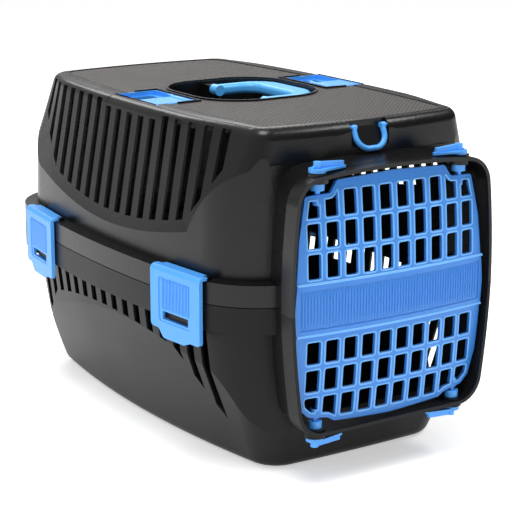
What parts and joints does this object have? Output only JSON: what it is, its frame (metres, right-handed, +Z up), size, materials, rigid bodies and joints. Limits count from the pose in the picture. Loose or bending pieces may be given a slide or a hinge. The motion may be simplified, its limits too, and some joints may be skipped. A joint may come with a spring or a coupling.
{
  "type": "pet carrier",
  "caption": "Two-shell plastic carrier for a small pet, with a barred front door on turning pins, side clips, a fold-down handle, strap rings and seat belt guides.",
  "frame": {"origin": "centre of the underside, where the carrier stands on the floor", "axes": "+X to the carrier's right seen from behind the camera side, across its width; +Y from the door to the rear; +Z up"},
  "size_m": [0.3218, 0.4868, 0.3092],
  "materials": {
    "shell": "satin, fine grain",
    "trim": "satin"
  },
  "bodies": {
    "shell": {"base_shell": "shell", "upper_shell": "shell", "belt_tray_left": "trim", "belt_tray_right": "trim"},
    "door": {"door_grille": "trim"},
    "pin_top_left": {"door_pin_top_left": "trim"},
    "pin_top_right": {"door_pin_top_right": "trim"},
    "pin_bottom_left": {"door_pin_bottom_left": "trim"},
    "pin_bottom_right": {"door_pin_bottom_right": "trim"},
    "clip_front_left": {"side_clip_front_left": "trim"},
    "clip_rear_left": {"side_clip_rear_left": "trim"},
    "clip_front_right": {"side_clip_front_right": "trim"},
    "clip_rear_right": {"side_clip_rear_right": "trim"},
    "handle": {"carry_handle": "trim"},
    "flap_left": {"belt_flap_left": "trim"},
    "flap_right": {"belt_flap_right": "trim"},
    "ring_front": {"strap_ring_front": "trim"},
    "ring_rear": {"strap_ring_rear": "trim"}
  },
  "joints": [
    {"name": "door_swing", "type": "hinge", "parent": "shell", "child": "door", "pos_m": [-0.0755, -0.2302, 0.159], "axis": [0, 0, -1], "range_deg": [0, 110]},
    {"name": "pin_top_left_turn", "type": "hinge", "parent": "shell", "child": "pin_top_left", "pos_m": [-0.0755, -0.2302, 0.27], "axis": [0, 0, -1], "range_deg": [0, 90]},
    {"name": "pin_top_right_turn", "type": "hinge", "parent": "shell", "child": "pin_top_right", "pos_m": [0.0755, -0.2302, 0.27], "axis": [0, 0, 1], "range_deg": [0, 90]},
    {"name": "pin_bottom_left_turn", "type": "hinge", "parent": "shell", "child": "pin_bottom_left", "pos_m": [-0.0755, -0.2302, 0.047], "axis": [0, 0, -1], "range_deg": [0, 90]},
    {"name": "pin_bottom_right_turn", "type": "hinge", "parent": "shell", "child": "pin_bottom_right", "pos_m": [0.0755, -0.2302, 0.047], "axis": [0, 0, 1], "range_deg": [0, 90]},
    {"name": "clip_front_left_swing", "type": "hinge", "parent": "shell", "child": "clip_front_left", "pos_m": [-0.14463, -0.13211, 0.1772], "axis": [-0.1062, 0.9943, 0], "range_deg": [0, 90]},
    {"name": "clip_rear_left_swing", "type": "hinge", "parent": "shell", "child": "clip_rear_left", "pos_m": [-0.14408, 0.13307, 0.1772], "axis": [0.1103, 0.9939, 0], "range_deg": [0, 90]},
    {"name": "clip_front_right_swing", "type": "hinge", "parent": "shell", "child": "clip_front_right", "pos_m": [0.14463, -0.13211, 0.1772], "axis": [-0.1062, -0.9943, 0], "range_deg": [0, 90]},
    {"name": "clip_rear_right_swing", "type": "hinge", "parent": "shell", "child": "clip_rear_right", "pos_m": [0.14408, 0.13307, 0.1772], "axis": [0.1103, -0.9939, 0], "range_deg": [0, 90]},
    {"name": "handle_swing", "type": "hinge", "parent": "shell", "child": "handle", "pos_m": [0, 0.004, 0.3008], "axis": [0, -1, 0], "range_deg": [0, 180]},
    {"name": "flap_left_lift", "type": "hinge", "parent": "shell", "child": "flap_left", "pos_m": [-0.0795, -0.0149, 0.3064], "axis": [0, 1, 0], "range_deg": [0, 100]},
    {"name": "flap_right_lift", "type": "hinge", "parent": "shell", "child": "flap_right", "pos_m": [0.0795, -0.0149, 0.3064], "axis": [0, -1, 0], "range_deg": [0, 100]},
    {"name": "ring_front_swing", "type": "hinge", "parent": "shell", "child": "ring_front", "pos_m": [0, -0.198, 0.30174], "axis": [-1, 0, 0], "range_deg": [0, 110]},
    {"name": "ring_rear_swing", "type": "hinge", "parent": "shell", "child": "ring_rear", "pos_m": [0, 0.211, 0.30193], "axis": [1, 0, 0], "range_deg": [0, 110]}
  ]
}
